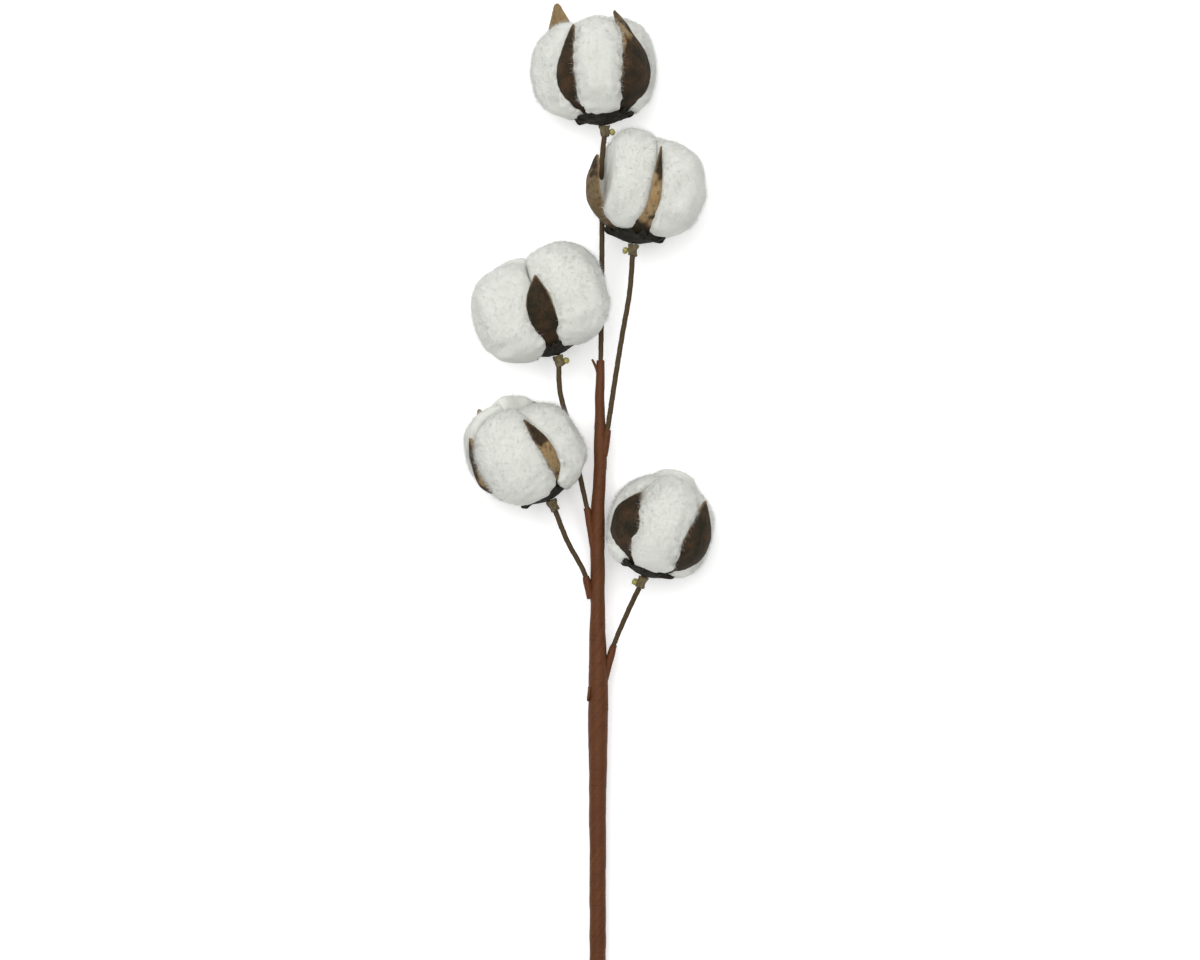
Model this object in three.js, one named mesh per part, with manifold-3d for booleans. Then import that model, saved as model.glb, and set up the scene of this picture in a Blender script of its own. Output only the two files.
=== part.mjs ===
// A spray of five open cotton bolls, lying on its back on a flat surface.
// Each boll is glued to a wire stalk, and brown stem tape binds the five stalks into one stem.
// Millimetres. +Y runs up the stem, +X to its right, and +Z away from the surface it lies on.

import * as THREE from 'three';
import { mergeVertices } from 'three/addons/utils/BufferGeometryUtils.js';
import Module from 'manifold-3d';

const wasm = await Module();
wasm.setup();

// ---- Driving dimensions --------------------------------------------------------------------------

const CLEARANCE = 0.3; // between pieces that touch

// Stem: straight, resting on its cut end and rising to the bolls.
const STEM_TOP = 353;
const STEM_END_HEIGHT = 3.4;
const STEM_RISE = 0.0459; // height gained per millimetre of stem
const TAPE_WALL = 0.4;
const COLLAR_TAPER = 0.15; // how much the tape thins where it ends on a stalk
const STEM_SIDES = 10;

// Stalk wires: wrapped in thin paper outside the stem, bare inside it.
const STALK_RADIUS = 1.1;
const CORE_RADIUS = 0.9;
const WIRE_PITCH = 2 * CORE_RADIUS + CLEARANCE;
const WIRE_SIDES = 6;
const WIRE_STEP = 18; // length of one straight piece of wire
const WIRE_IN_PEDICEL = 2.5;

// Bur: a woody cup that splits into four pointed valves.
const BUR_WALL = 1.1;
const SEPTUM_RIDGE = 1.3; // the partition left standing along the inside of a valve
const VALVE_COLUMNS = 4;
const CUP_PROFILE = [[3, 0.2], [9, 2], [15.3, 5.8]]; // [radius, height] of the undivided cup
const VALVE_BELLY = 21; // height at which the valves stand furthest out
const VALVE_FLARE = [0.9, 0.58]; // a point below the belly, as shares of its radius and height
const SHOULDER_DRAW = 0.36; // how far a valve has drawn in to its tip's radius, halfway up to the tip
const VALVE_WIDTHS = [0.92, 1, 1, 0.92, 0.74, 0.42, 0.05]; // from the cup to the tip, as shares of half
const CUP_SHARE = 0.42; // how much of the gap to the next valve each half of the cup fills
const VALVE_SAG = 0.33; // how far an edge curls in, as a share of the half width

// Calyx: a thin dish with a torn rim, just under the cup.
const CALYX_WALL = 0.9;
const CALYX_RIM_RADIUS = 12;
const CALYX_RIM_HEIGHT = 3.75;
const CALYX_TEETH = 5;
const CALYX_TEAR = 0.16;

// Pedicel: the boll's own short stalk.
const PEDICEL_LENGTH = 4.6;
const PEDICEL_TOP_RADIUS = 2.4;
const PEDICEL_FOOT_RADIUS = 1.85;
const BEAD_RADIUS = 1.35;

// Lock of lint: four lobes of cotton to a boll.
const LOBE_FULLNESS = 0.86; // 1 is a plain ball
const WEDGE_REACH = 90; // past the outside of any lobe

// Heights along a boll's axis, counted from the bottom of its bur.
const CALYX_BOTTOM = -(CLEARANCE + CALYX_WALL + 0.2);
const PEDICEL_TOP = CALYX_BOTTOM - CLEARANCE;
const PEDICEL_FOOT = PEDICEL_TOP - PEDICEL_LENGTH;

// Each boll: the foot of its bur, its lean to the left in degrees, its valves and its locks of lint.
// Azimuths turn about the boll's axis, from 0 on the upper side to 90 on the right.
// A valve has its greatest radius, its half width, the radius and height of its tip, and how far its
// tip turns aside, in degrees.
// A lock has its centre's radius and height, then its half size around, along and out from the axis.
const BOLLS = [
  {
    name: 'boll_1', foot: [1.7, 452, 25.4], lean: 6, bead: 1,
    valves: [
      { azimuth: -140, belly: 25, half: 9, tip: [21, 50.5], turn: 0 },
      { azimuth: -43, belly: 25, half: 6.4, tip: [21.5, 39.5], turn: 23 },
      { azimuth: 46, belly: 25.5, half: 9, tip: [13.5, 45], turn: -4 },
      { azimuth: 132, belly: 23, half: 8, tip: [17, 41], turn: 0 },
    ],
    locks: [
      { azimuth: -88, out: 8, up: 22, half: [18, 20.5, 21] },
      { azimuth: 0, out: 7, up: 22, half: [15.5, 20.5, 19.8] },
      { azimuth: 91, out: 7, up: 22.5, half: [16, 20.5, 17.6] },
      { azimuth: 176, out: 7, up: 23.5, half: [16, 22, 20.4] },
    ],
  },
  {
    name: 'boll_2', foot: [14.3, 402, 28], lean: -8, bead: -1,
    valves: [
      { azimuth: -165, belly: 24, half: 8, tip: [20, 43], turn: 0 },
      { azimuth: -68, belly: 25, half: 8, tip: [22, 33], turn: 0 },
      { azimuth: 15, belly: 25.5, half: 3.6, tip: [22, 38.5], turn: 0 },
      { azimuth: 104, belly: 24, half: 8, tip: [18, 41], turn: 0 },
    ],
    locks: [
      { azimuth: -120, out: 6, up: 23.5, half: [15, 19.5, 16.5] },
      { azimuth: -28, out: 6.5, up: 24, half: [16, 21.5, 18.6] },
      { azimuth: 58, out: 8, up: 22, half: [16.5, 20.5, 21.4] },
      { azimuth: 156, out: 6, up: 24, half: [16, 20.5, 19] },
    ],
  },
  {
    name: 'boll_3', foot: [-18.5, 355.4, 24.4], lean: 18, bead: 1,
    valves: [
      { azimuth: -112, belly: 24, half: 7.5, tip: [20, 38], turn: 0 },
      { azimuth: -4, belly: 25, half: 7, tip: [22.5, 32], turn: 8 },
      { azimuth: 108, belly: 24, half: 7.5, tip: [20, 38], turn: 0 },
      { azimuth: 180, belly: 24, half: 7.5, tip: [19, 40], turn: 0 },
    ],
    locks: [
      { azimuth: -60, out: 12, up: 20, half: [16.5, 20.5, 19.4] },
      { azimuth: 60, out: 12, up: 21.5, half: [16.5, 21.8, 19.4] },
      { azimuth: 143, out: 9.6, up: 23, half: [15, 20, 19.6] },
      { azimuth: -145, out: 9.6, up: 23, half: [15, 20, 19.6] },
    ],
  },
  {
    name: 'boll_4', foot: [-21.4, 294.5, 24.9], lean: 27, bead: 0,
    valves: [
      { azimuth: -152, belly: 23.5, half: 7.5, tip: [22, 45], turn: 0 },
      { azimuth: -68, belly: 25.5, half: 6.5, tip: [20, 37], turn: 0 },
      { azimuth: 24, belly: 25, half: 4.6, tip: [24.5, 33], turn: -14 },
      { azimuth: 140, belly: 23.5, half: 7.2, tip: [19.5, 39], turn: 0 },
    ],
    locks: [
      { azimuth: -112, out: 6, up: 25.5, half: [16.5, 19.5, 19.6] },
      { azimuth: -26, out: 7, up: 20.5, half: [18, 20.5, 20.6] },
      { azimuth: 76, out: 6.5, up: 19, half: [17, 19.5, 17.6] },
      { azimuth: 174, out: 6.5, up: 26, half: [17, 20.5, 20.6] },
    ],
  },
  {
    name: 'boll_5', foot: [18.9, 262.5, 25.3], lean: -19, bead: -1,
    valves: [
      { azimuth: -135, belly: 24, half: 8, tip: [18, 39], turn: 0 },
      { azimuth: -44, belly: 25, half: 9, tip: [18, 32], turn: 0 },
      { azimuth: 47, belly: 25, half: 9, tip: [19, 37], turn: 0 },
      { azimuth: 135, belly: 24, half: 8, tip: [18, 39], turn: 0 },
    ],
    locks: [
      { azimuth: -92, out: 5, up: 20, half: [16, 20.5, 17.4] },
      { azimuth: 1, out: 7, up: 21.5, half: [15.5, 20.5, 19.6] },
      { azimuth: 90, out: 5, up: 20, half: [16, 20, 17] },
      { azimuth: 180, out: 7, up: 24, half: [16.5, 21, 20.4] },
    ],
  },
];

// Where each stalk stands in the bundle, as an angle, for one to five stalks.
const BUNDLE_ANGLES = [[0], [210, 30], [270, 30, 150], [315, 45, 135, 225], [270, 54, 126, 198, 342]];
// Height up the stem at which the bundle holds one to five stalks.
const BUNDLE_LEVELS = [338, 304, 271, 243, 214];

// The stem's own slight bends: [height up the stem, sideways offset].
const STEM_BENDS = [[0, -0.8], [150, -1], [225, -0.7], [255, -1.1], [285, -0.9], [315, 0], [353, 0]];

// The free part of each stalk, from the stem up to its boll: [x, y, z].
const FREE_ROUTES = [
  [[0.5, 365, 19.6], [0.8, 388, 19.6], [0.8, 405, 20], [0.8, 417, 21.6], [0.7, 430, 25], [0.7, 438, 25.8]],
  [[4.2, 329.7, 19.8], [8.9, 360, 23], [12.4, 380, 25.6]],
  [[-5.4, 289, 17.6], [-8, 301, 18.6], [-14, 329.5, 21.4], [-17.4, 343, 24]],
  [[-4.6, 258, 15.6], [-8.2, 264.5, 16.6], [-13.4, 274.5, 19.6]],
  [[6.6, 234, 14.6], [10.5, 244, 17]],
];

// ---- Solids --------------------------------------------------------------------------------------

function solidOf(geometry) {
  geometry.deleteAttribute('normal');
  geometry.deleteAttribute('uv');
  const merged = mergeVertices(geometry, 1e-4);
  return new wasm.Manifold(new wasm.Mesh({
    numProp: 3,
    vertProperties: new Float32Array(merged.attributes.position.array),
    triVerts: new Uint32Array(merged.index.array),
  }));
}

function geometryOf(solid) {
  const mesh = solid.getMesh();
  const geometry = new THREE.BufferGeometry();
  geometry.setAttribute('position', new THREE.BufferAttribute(new Float32Array(mesh.vertProperties), 3));
  geometry.setIndex(new THREE.BufferAttribute(new Uint32Array(mesh.triVerts), 1));
  geometry.computeVertexNormals();
  return geometry;
}

// A cut can free a crumb at an edge, so only the body itself is kept.
function largestBody(solid) {
  return solid.decompose().reduce((best, body) => (body.volume() > best.volume() ? body : best));
}

function moved(geometry, matrix) {
  return geometry.clone().applyMatrix4(matrix);
}

// ---- Stem and stalks -----------------------------------------------------------------------------

const UP_THE_STEM = STEM_BENDS.map(([y]) => y);

function stemOffset(y) {
  const next = Math.min(Math.max(UP_THE_STEM.findIndex((level) => level >= y), 1), STEM_BENDS.length - 1);
  const [lowY, lowX] = STEM_BENDS[next - 1];
  const [highY, highX] = STEM_BENDS[next];
  return THREE.MathUtils.lerp(lowX, highX, THREE.MathUtils.clamp((y - lowY) / (highY - lowY), 0, 1));
}

function stemAxis(y) {
  return new THREE.Vector3(stemOffset(y), y, STEM_END_HEIGHT + STEM_RISE * y);
}

function bundleRing(count) {
  return count === 1 ? 0 : WIRE_PITCH / 2 / Math.sin(Math.PI / count);
}

function bundleRadius(count) {
  return bundleRing(count) + CORE_RADIUS + CLEARANCE + TAPE_WALL;
}

function bundlePoint(stalk, count, y) {
  const angle = THREE.MathUtils.degToRad(BUNDLE_ANGLES[count - 1][stalk]);
  const ring = bundleRing(count);
  return stemAxis(y).add(new THREE.Vector3(ring * Math.cos(angle), 0, ring * Math.sin(angle)));
}

function bollMatrix(boll) {
  const turn = new THREE.Matrix4().makeRotationZ(THREE.MathUtils.degToRad(boll.lean));
  return turn.setPosition(...boll.foot);
}

// From below the cut end, through the bundle, along the free part and into the pedicel.
function stalkCurve(stalk, below) {
  const points = [-below, 70, 150, 192].map((y) => bundlePoint(stalk, 5, y));
  for (let count = 5; count > stalk; count -= 1) {
    points.push(bundlePoint(stalk, count, BUNDLE_LEVELS[count - 1]));
  }
  FREE_ROUTES[stalk].forEach((point) => points.push(new THREE.Vector3(...point)));
  const place = bollMatrix(BOLLS[stalk]);
  [-7, -2.5, WIRE_IN_PEDICEL].forEach((along) => {
    points.push(new THREE.Vector3(0, PEDICEL_FOOT + along, 0).applyMatrix4(place));
  });
  return new THREE.CatmullRomCurve3(points, false, 'centripetal');
}

function shareAtHeight(curve, y) {
  let low = 0;
  let high = 1;
  for (let i = 0; i < 30; i += 1) {
    const middle = (low + high) / 2;
    if (curve.getPointAt(middle).y < y) low = middle;
    else high = middle;
  }
  return low;
}

// A round rod along part of a curve: a cylinder whose rings are carried onto the route.
function rod(curve, from, to, steps, radiusAt, sides) {
  const geometry = new THREE.CylinderGeometry(1, 1, 1, sides, steps);
  const position = geometry.attributes.position;
  const across = new THREE.Vector3();
  const upward = new THREE.Vector3();
  for (let i = 0; i < position.count; i += 1) {
    const share = from + (to - from) * (position.getY(i) + 0.5);
    const centre = curve.getPointAt(share);
    const along = curve.getTangentAt(share);
    across.set(1, 0, 0).addScaledVector(along, -along.x).normalize();
    upward.crossVectors(across, along);
    const radius = radiusAt(centre.y);
    centre.addScaledVector(across, radius * position.getX(i));
    centre.addScaledVector(upward, radius * position.getZ(i));
    position.setXYZ(i, centre.x, centre.y, centre.z);
  }
  return geometry;
}

// Outside the stem a stalk is thicker, by its paper, and its paper starts a little inside the tape.
function stalkRadiusAt(stalk, y) {
  const mouth = BUNDLE_LEVELS[stalk] + 10;
  return THREE.MathUtils.lerp(CORE_RADIUS, STALK_RADIUS, THREE.MathUtils.smoothstep(y, mouth, mouth + 12));
}

function stalkSolid(stalk, extra) {
  const curve = stalkCurve(stalk, extra > 0 ? 3 : 0);
  const steps = Math.round(curve.getLength() / WIRE_STEP);
  return solidOf(rod(curve, 0, 1, steps, (y) => stalkRadiusAt(stalk, y) + extra, WIRE_SIDES));
}

// Tape is thickest just below the lowest stalk, where the winding was begun again.
const STEM_RINGS = [
  [0, bundleRadius(5)], [70, bundleRadius(5) + 0.1], [150, bundleRadius(5) + 0.2],
  [176, bundleRadius(5) + 0.4], [194, bundleRadius(5) + 0.9], [216, bundleRadius(5) + 0.9],
  [232, bundleRadius(4) + 0.6],
  [246, bundleRadius(4)], [262, bundleRadius(4)], [276, bundleRadius(3) + 0.2], [292, bundleRadius(3)],
  [306, bundleRadius(2)], [320, bundleRadius(2) - 0.2], [330, bundleRadius(1) + 0.5],
  [STEM_TOP, bundleRadius(1) + 0.1],
];

function stemBarrel(extra) {
  const rings = STEM_RINGS.length - 1;
  const geometry = new THREE.CylinderGeometry(1, 1, rings, STEM_SIDES, rings);
  const position = geometry.attributes.position;
  for (let i = 0; i < position.count; i += 1) {
    const [y, radius] = STEM_RINGS[Math.round(position.getY(i) + rings / 2)];
    const centre = stemAxis(y);
    const reach = radius + extra;
    position.setXYZ(i, centre.x + reach * position.getX(i), centre.y, centre.z + reach * position.getZ(i));
  }
  return solidOf(geometry);
}

// Tape runs a little way out along each stalk that leaves the stem.
function tapeCollar(stalk) {
  const curve = stalkCurve(stalk, 0);
  const mouth = BUNDLE_LEVELS[stalk] + 14;
  const from = shareAtHeight(curve, mouth - 16);
  const to = shareAtHeight(curve, mouth + 4);
  const radiusAt = (y) => {
    const taper = THREE.MathUtils.smoothstep(y, mouth - 8, mouth + 4);
    return STALK_RADIUS + CLEARANCE + TAPE_WALL - COLLAR_TAPER * taper;
  };
  return solidOf(rod(curve, from, to, 4, radiusAt, 8));
}

// The loose end of the tape curls off the left of the stem's top.
function tapeCurl() {
  const start = stemAxis(STEM_TOP - 5);
  const path = new THREE.CatmullRomCurve3([
    start.clone().add(new THREE.Vector3(-1.35, 0, 0.2)),
    start.clone().add(new THREE.Vector3(-2, 3, 0.6)),
    start.clone().add(new THREE.Vector3(-3.1, 5, 0.9)),
  ]);
  const section = new THREE.Shape([
    new THREE.Vector2(-1.1, -0.25), new THREE.Vector2(1.1, -0.25),
    new THREE.Vector2(1.1, 0.25), new THREE.Vector2(-1.1, 0.25),
  ]);
  return solidOf(new THREE.ExtrudeGeometry(section, { steps: 3, bevelEnabled: false, extrudePath: path }));
}

function stemTape() {
  let tape = stemBarrel(0).add(tapeCurl());
  for (let stalk = 1; stalk < 5; stalk += 1) tape = tape.add(tapeCollar(stalk));
  for (let stalk = 0; stalk < 5; stalk += 1) tape = tape.subtract(stalkSolid(stalk, CLEARANCE));
  return largestBody(tape);
}

// ---- Boll pieces, each in its boll's own frame: +Y along the axis, +Z to the upper side -----------

function outward(azimuth) {
  return new THREE.Vector3(Math.sin(azimuth), 0, Math.cos(azimuth));
}

function sideways(azimuth) {
  return new THREE.Vector3(Math.cos(azimuth), 0, -Math.sin(azimuth));
}

// Rows of one valve from the cup's bottom to the tip: radius, height, half width and slope.
function valveRows(valve) {
  const [tipRadius, tipHeight] = valve.tip;
  const shoulder = (VALVE_BELLY + tipHeight) / 2;
  const profile = new THREE.SplineCurve([
    new THREE.Vector2(...CUP_PROFILE[2]),
    new THREE.Vector2(valve.belly * VALVE_FLARE[0], VALVE_BELLY * VALVE_FLARE[1]),
    new THREE.Vector2(valve.belly, VALVE_BELLY),
    new THREE.Vector2(THREE.MathUtils.lerp(valve.belly, tipRadius, SHOULDER_DRAW), shoulder),
    new THREE.Vector2(tipRadius, tipHeight),
  ]);
  const rows = CUP_PROFILE.slice(0, 2).map(([radius, height]) => ({ radius, height, width: 0 }));
  VALVE_WIDTHS.forEach((share, i) => {
    const point = profile.getPoint(i / (VALVE_WIDTHS.length - 1));
    rows.push({ radius: point.x, height: point.y, width: share * valve.half });
  });
  rows.forEach((row, i) => {
    const before = rows[Math.max(i - 1, 0)];
    const after = rows[Math.min(i + 1, rows.length - 1)];
    row.slope = new THREE.Vector2(after.radius - before.radius, after.height - before.height).normalize();
  });
  return rows;
}

// One closed shell: an outer and an inner skin over the cup and its four valves, joined at the rims.
function burGeometry(boll, extra) {
  const points = [];
  const faces = [];
  const cupRows = CUP_PROFILE.length;
  const count = boll.valves.length;
  const quad = (a, b, c, d) => faces.push(a, b, c, a, c, d);
  const skins = boll.valves.map((valve, k) => {
    const azimuth = THREE.MathUtils.degToRad(valve.azimuth);
    const spacing = (step) => {
      const other = boll.valves[(k + step + count) % count].azimuth;
      const turn = THREE.MathUtils.euclideanModulo((other - valve.azimuth) * step, 360);
      return THREE.MathUtils.degToRad(turn);
    };
    const spans = { left: spacing(-1) * CUP_SHARE, right: spacing(1) * CUP_SHARE };
    const rows = valveRows(valve);
    return [0, 1].map((inner) => rows.map((row, i) => {
      const last = i === rows.length - 1;
      const line = [];
      for (let j = 0; j <= VALVE_COLUMNS; j += 1) {
        const across = (2 * j) / VALVE_COLUMNS - 1;
        const ridge = inner && j === VALVE_COLUMNS / 2 && i >= cupRows - 1 && !last ? SEPTUM_RIDGE : 0;
        const depth = inner ? -(BUR_WALL + ridge + extra) : extra;
        const point = new THREE.Vector3();
        const share = Math.max(i - cupRows + 1, 0) / (rows.length - cupRows);
        const heading = azimuth + THREE.MathUtils.degToRad(valve.turn) * share * share;
        let facing = heading;
        if (i < cupRows) {
          facing += across * (across < 0 ? spans.left : spans.right);
          point.addScaledVector(outward(facing), row.radius);
        } else {
          const half = row.width + extra;
          point.addScaledVector(outward(heading), row.radius - VALVE_SAG * half * across * across);
          point.addScaledVector(sideways(heading), half * across);
        }
        const notch = i === cupRows - 1 && (j === 0 || j === VALVE_COLUMNS);
        const lift = last || notch ? extra : 0;
        point.y = row.height + row.slope.y * lift - row.slope.x * depth;
        point.addScaledVector(outward(facing), row.slope.x * lift + row.slope.y * depth);
        line.push(points.push(point) - 1);
      }
      return line;
    }));
  });
  skins.forEach((skin, k) => {
    const next = skins[(k + 1) % count];
    const [outer, inner] = skin;
    const top = outer.length - 1;
    for (let i = 0; i < top; i += 1) {
      for (let j = 0; j < VALVE_COLUMNS; j += 1) {
        quad(outer[i][j], outer[i][j + 1], outer[i + 1][j + 1], outer[i + 1][j]);
        quad(inner[i][j + 1], inner[i][j], inner[i + 1][j], inner[i + 1][j + 1]);
      }
      if (i < cupRows - 1) {
        const end = VALVE_COLUMNS;
        quad(outer[i][end], next[0][i][0], next[0][i + 1][0], outer[i + 1][end]);
        quad(next[1][i][0], inner[i][end], inner[i + 1][end], next[1][i + 1][0]);
      } else {
        const end = VALVE_COLUMNS;
        quad(outer[i][end], inner[i][end], inner[i + 1][end], outer[i + 1][end]);
        quad(inner[i][0], outer[i][0], outer[i + 1][0], inner[i + 1][0]);
      }
    }
    const rim = cupRows - 1;
    quad(outer[rim][VALVE_COLUMNS], next[0][rim][0], next[1][rim][0], inner[rim][VALVE_COLUMNS]);
    for (let j = 0; j < VALVE_COLUMNS; j += 1) {
      quad(outer[top][j], outer[top][j + 1], inner[top][j + 1], inner[top][j]);
    }
  });
  const ringOf = (side) => skins.flatMap((skin) => skin[side][0]);
  const bottom = points.push(new THREE.Vector3(0, -extra, 0)) - 1;
  const floor = points.push(new THREE.Vector3(0, BUR_WALL + extra, 0)) - 1;
  ringOf(0).forEach((point, i, ring) => faces.push(bottom, ring[(i + 1) % ring.length], point));
  ringOf(1).forEach((point, i, ring) => faces.push(floor, point, ring[(i + 1) % ring.length]));
  const geometry = new THREE.BufferGeometry().setFromPoints(points);
  geometry.setIndex(faces);
  return geometry;
}

function calyxSolid(boll, extra) {
  const drop = CLEARANCE + 0.12;
  const [neck, waist] = CUP_PROFILE;
  const rimHeight = CALYX_RIM_HEIGHT - drop;
  const profile = [
    [0, CALYX_BOTTOM - extra],
    [neck[0], CALYX_BOTTOM + 0.15 - extra],
    [waist[0] + 0.6, waist[1] - drop - 0.8 - extra],
    [CALYX_RIM_RADIUS + 0.6 + extra, rimHeight - 0.75 - extra],
    [CALYX_RIM_RADIUS + 0.2 + extra, rimHeight + extra],
    [waist[0], waist[1] - drop + extra],
    [neck[0], neck[1] - drop + extra],
    [0, -drop + extra],
  ].map(([radius, height]) => new THREE.Vector2(radius, height));
  const geometry = new THREE.LatheGeometry(profile, 3 * CALYX_TEETH);
  const position = geometry.attributes.position;
  for (let i = 0; i < position.count; i += 1) {
    const [x, z] = [position.getX(i), position.getZ(i)];
    if (Math.hypot(x, z) < CALYX_RIM_RADIUS - 1) continue;
    const tear = 1 + CALYX_TEAR * (0.5 + 0.5 * Math.sin(CALYX_TEETH * Math.atan2(x, z) + boll.lean));
    position.setXYZ(i, x * tear, position.getY(i), z * tear);
  }
  return solidOf(geometry);
}

function pedicelSolid(extra) {
  const profile = [
    [0, PEDICEL_TOP + extra], [PEDICEL_TOP_RADIUS + extra, PEDICEL_TOP + extra],
    [PEDICEL_TOP_RADIUS - 0.4 + extra, PEDICEL_TOP - 1.4],
    [PEDICEL_FOOT_RADIUS + 0.2 + extra, PEDICEL_FOOT + 1.6],
    [PEDICEL_FOOT_RADIUS + extra, PEDICEL_FOOT - extra], [0, PEDICEL_FOOT - extra],
  ].reverse().map(([radius, height]) => new THREE.Vector2(radius, height));
  return solidOf(new THREE.LatheGeometry(profile, 8));
}

function beadSolid(side) {
  const bead = new THREE.SphereGeometry(BEAD_RADIUS, 6, 5);
  bead.translate(side * (PEDICEL_FOOT_RADIUS + 1.1), PEDICEL_FOOT + 1.5, 0.5);
  return solidOf(bead);
}

// The room a lock has between the middles of the valves on either side of it.
function wedgeSolid(fromDegrees, toDegrees) {
  const from = THREE.MathUtils.degToRad(fromDegrees);
  const to = THREE.MathUtils.degToRad(toDegrees);
  const middle = (from + to) / 2;
  const apex = outward(middle).multiplyScalar((CLEARANCE / 2 + 0.02) / Math.sin((to - from) / 2));
  const corners = [apex];
  [from, middle, to].forEach((azimuth) => {
    corners.push(apex.clone().addScaledVector(outward(azimuth), WEDGE_REACH));
  });
  const outline = new THREE.Shape(corners.map((corner) => new THREE.Vector2(corner.x, -corner.z)));
  const geometry = new THREE.ExtrudeGeometry(outline, { depth: 120, bevelEnabled: false });
  return solidOf(geometry.rotateX(-Math.PI / 2).translate(0, -30, 0));
}

// A lobe is a ball with slightly fuller shoulders, so that four of them close up at the top.
function lobeSolid(lock) {
  const [around, along, out] = lock.half;
  const geometry = new THREE.SphereGeometry(1, 10, 8);
  const position = geometry.attributes.position;
  const fuller = (value) => Math.sign(value) * Math.abs(value) ** LOBE_FULLNESS;
  for (let i = 0; i < position.count; i += 1) {
    const [x, y, z] = [position.getX(i), position.getY(i), position.getZ(i)];
    const ring = Math.hypot(x, z);
    const spread = ring > 0 ? fuller(ring) / ring : 0;
    position.setXYZ(i, x * spread, fuller(y), z * spread);
  }
  geometry.scale(around, along, out).translate(0, lock.up, lock.out);
  return solidOf(geometry.rotateY(THREE.MathUtils.degToRad(lock.azimuth)));
}

function aboveSurface(boll) {
  const room = new THREE.BoxGeometry(200, 200, 200);
  return solidOf(room.translate(0, 0, 100 - boll.foot[2]));
}

// ---- Assembly ------------------------------------------------------------------------------------

const spray = new THREE.Group();

const FINISH = {
  lint: { color: 0xe9e9e0, roughness: 0.95, metalness: 0 },
  bur: { color: 0x3d3023, roughness: 0.75, metalness: 0 },
  calyx: { color: 0x2c251e, roughness: 0.85, metalness: 0 },
  pedicel: { color: 0x6e5c38, roughness: 0.7, metalness: 0 },
  glue: { color: 0xa89a52, roughness: 0.25, metalness: 0 },
  wire: { color: 0x46392a, roughness: 0.8, metalness: 0 },
  tape: { color: 0x5b3a22, roughness: 0.7, metalness: 0 },
};

function piece(name, solid, finish) {
  const mesh = new THREE.Mesh(geometryOf(solid), new THREE.MeshStandardMaterial(FINISH[finish]));
  mesh.name = name;
  return mesh;
}

// What the locks of a boll must leave free: its own bur and calyx, the stalks and the stem.
function keepOut(boll) {
  const back = bollMatrix(boll).invert();
  const cup = solidOf(burGeometry(boll, CLEARANCE + 0.05));
  const parts = [cup, calyxSolid(boll, CLEARANCE), pedicelSolid(CLEARANCE)];
  const around = [stemBarrel(CLEARANCE)];
  for (let stalk = 0; stalk < 5; stalk += 1) around.push(stalkSolid(stalk, CLEARANCE + 0.05));
  around.forEach((solid) => parts.push(solidOf(moved(geometryOf(solid), back))));
  return parts;
}

function buildBoll(boll, stalk) {
  const group = new THREE.Group();
  group.position.set(...boll.foot);
  group.rotation.z = THREE.MathUtils.degToRad(boll.lean);
  group.add(piece(`${boll.name}_bur`, solidOf(burGeometry(boll, 0)), 'bur'));
  group.add(piece(`${boll.name}_calyx`, calyxSolid(boll, 0), 'calyx'));
  const back = bollMatrix(boll).invert();
  const hole = solidOf(moved(geometryOf(stalkSolid(stalk, CLEARANCE)), back));
  group.add(piece(`${boll.name}_pedicel`, largestBody(pedicelSolid(0).subtract(hole)), 'pedicel'));
  if (boll.bead) {
    const bead = beadSolid(boll.bead).subtract(pedicelSolid(CLEARANCE)).subtract(hole);
    group.add(piece(`${boll.name}_glue_bead`, largestBody(bead), 'glue'));
  }
  const blocked = keepOut(boll);
  const room = aboveSurface(boll);
  boll.locks.forEach((lock, k) => {
    const valve = boll.valves[k].azimuth;
    const turn = THREE.MathUtils.euclideanModulo(boll.valves[(k + 1) % 4].azimuth - valve, 360);
    let lint = lobeSolid(lock).intersect(wedgeSolid(valve, valve + turn)).intersect(room);
    blocked.forEach((solid) => {
      lint = lint.subtract(solid);
    });
    group.add(piece(`${boll.name}_lock_${'abcd'[k]}`, largestBody(lint), 'lint'));
  });
  return group;
}

spray.add(piece('stem_tape', stemTape(), 'tape'));
BOLLS.forEach((boll, stalk) => {
  spray.add(piece(`stalk_wire_${stalk + 1}`, stalkSolid(stalk, 0), 'wire'));
  spray.add(buildBoll(boll, stalk));
});

// The origin is the middle of the spray's footprint, on the surface.
const bounds = new THREE.Box3().setFromObject(spray, true);
const middle = bounds.getCenter(new THREE.Vector3());
spray.position.set(-middle.x, -middle.y, -bounds.min.z);

export default spray;
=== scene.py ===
"""A cotton stem bunch: five open bolls on wire stalks, bound with tape into one stem and laid down.

Metres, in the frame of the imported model: +Y up the stem, +X to its right, +Z off the surface.
"""

import math

import bmesh
import bpy
import numpy as np
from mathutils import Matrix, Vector, noise
from mathutils.bvhtree import BVHTree
from mathutils.kdtree import KDTree


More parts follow.
